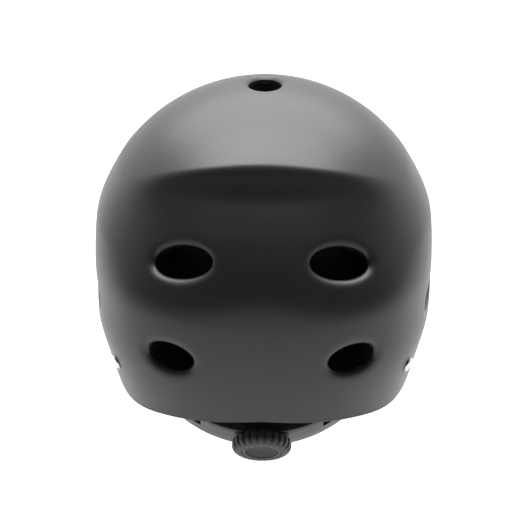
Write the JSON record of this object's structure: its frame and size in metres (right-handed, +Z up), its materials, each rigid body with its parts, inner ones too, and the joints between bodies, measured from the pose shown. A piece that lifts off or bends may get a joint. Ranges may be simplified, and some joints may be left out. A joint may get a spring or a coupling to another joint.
{
  "type": "water sports helmet",
  "caption": "Rounded water sports helmet with oval vents, a stepped rear panel, foam liner and pads, a riveted chin strap with side-release buckle, and a nape cradle with a ribbed dial.",
  "frame": {"origin": "where the crown of the wearer's head meets the flat of the crown pad", "axes": "+X to the wearer's right, +Y forwards, +Z up"},
  "size_m": [0.2168, 0.2583, 0.2695],
  "materials": {
    "shell": "satin, very fine grain",
    "foam": "closed cell foam",
    "pad_fabric": "brushed knit over foam",
    "webbing": "woven polyester",
    "steel": "polished, slightly worn",
    "hard_plastic": "satin, moulded",
    "knob_rubber": "matte, soft to the touch"
  },
  "bodies": {
    "helmet": {"outer_shell": "shell", "foam_liner": "foam", "brow_pad": "pad_fabric", "rear_pad": "pad_fabric", "rear_upper_pad_right": "pad_fabric", "rear_upper_pad_left": "pad_fabric", "side_pad_right": "pad_fabric", "side_pad_left": "pad_fabric", "crown_pad": "pad_fabric", "rivet_front_left": "steel", "washer_front_left": "steel", "strap_front_left": "webbing", "rivet_front_right": "steel", "washer_front_right": "steel", "strap_front_right": "webbing", "rivet_rear_left": "steel", "washer_rear_left": "steel", "strap_rear_left": "webbing", "rivet_rear_right": "steel", "washer_rear_right": "steel", "strap_rear_right": "webbing", "divider_left": "hard_plastic", "anchor_stud_left": "hard_plastic", "divider_right": "hard_plastic", "anchor_stud_right": "hard_plastic", "upper_strap_right": "webbing", "chin_strap_left": "webbing", "chin_pad": "pad_fabric", "buckle_socket": "hard_plastic"},
    "temple_links": {"temple_link_left": "hard_plastic", "link_pin_left": "steel", "temple_link_right": "hard_plastic", "link_pin_right": "steel"},
    "band_left": {"band_left": "hard_plastic"},
    "band_right": {"band_right": "hard_plastic"},
    "nape_housing": {"housing_cover": "hard_plastic", "housing_plate": "hard_plastic", "nape_pad": "pad_fabric", "click_ring": "hard_plastic", "housing_screw_left": "steel", "housing_screw_right": "steel"},
    "dial": {"dial_knob": "knob_rubber", "dial_cap": "hard_plastic", "dial_screw": "steel", "pinion": "hard_plastic"},
    "buckle_plug": {"buckle_plug": "hard_plastic", "chin_strap_right": "webbing", "strap_keeper": "knob_rubber"},
    "prong_front": {"buckle_prong_front": "hard_plastic"},
    "prong_rear": {"buckle_prong_rear": "hard_plastic"}
  },
  "joints": [
    {"name": "cradle_tilt", "type": "hinge", "parent": "helmet", "child": "temple_links", "pos_m": [0, -0.0067, -0.1164], "axis": [1, 0, 0], "range_deg": [-6, 12]},
    {"name": "nape_slide", "type": "slide", "parent": "temple_links", "child": "nape_housing", "axis": [0, 0.8039, 0.5948], "range_m": [-0.004, 0.008]},
    {"name": "band_left_swing", "type": "hinge", "parent": "temple_links", "child": "band_left", "pos_m": [-0.077, -0.0067, -0.1164], "axis": [0, -0.5948, 0.8039], "range_deg": [-3.2, 6.2]},
    {"name": "band_right_swing", "type": "hinge", "parent": "temple_links", "child": "band_right", "pos_m": [0.077, -0.0067, -0.1164], "axis": [0, -0.5948, 0.8039], "range_deg": [-6.2, 3.2]},
    {"name": "dial_turn", "type": "hinge", "parent": "nape_housing", "child": "dial", "pos_m": [0, -0.0686, -0.16221], "axis": [0, -0.8039, -0.5948], "range_deg": [-66, 130]},
    {"name": "buckle_release", "type": "slide", "parent": "helmet", "child": "buckle_plug", "axis": [-0.2494, 0.7309, -0.6353], "range_m": [0, 0.017], "deforming": ["chin_strap_right"]},
    {"name": "prong_front_squeeze", "type": "hinge", "parent": "buckle_plug", "child": "prong_front", "pos_m": [0.05972, 0.04695, -0.18366], "axis": [0.9684, 0.1882, -0.1636], "range_deg": [0, 8], "stiffness_Nm_per_rad": 0.05},
    {"name": "prong_rear_squeeze", "type": "hinge", "parent": "buckle_plug", "child": "prong_rear", "pos_m": [0.05972, 0.03619, -0.19604], "axis": [0.9684, 0.1882, -0.1636], "range_deg": [-8, 0], "stiffness_Nm_per_rad": 0.05}
  ],
  "couplings": [
    {"joint": "band_left_swing", "follows": "nape_slide", "rad_per_m": 12.987},
    {"joint": "band_right_swing", "follows": "nape_slide", "rad_per_m": -12.987},
    {"joint": "dial_turn", "follows": "nape_slide", "rad_per_m": 277.78},
    {"joint": "prong_rear_squeeze", "follows": "prong_front_squeeze", "ratio": -1}
  ]
}
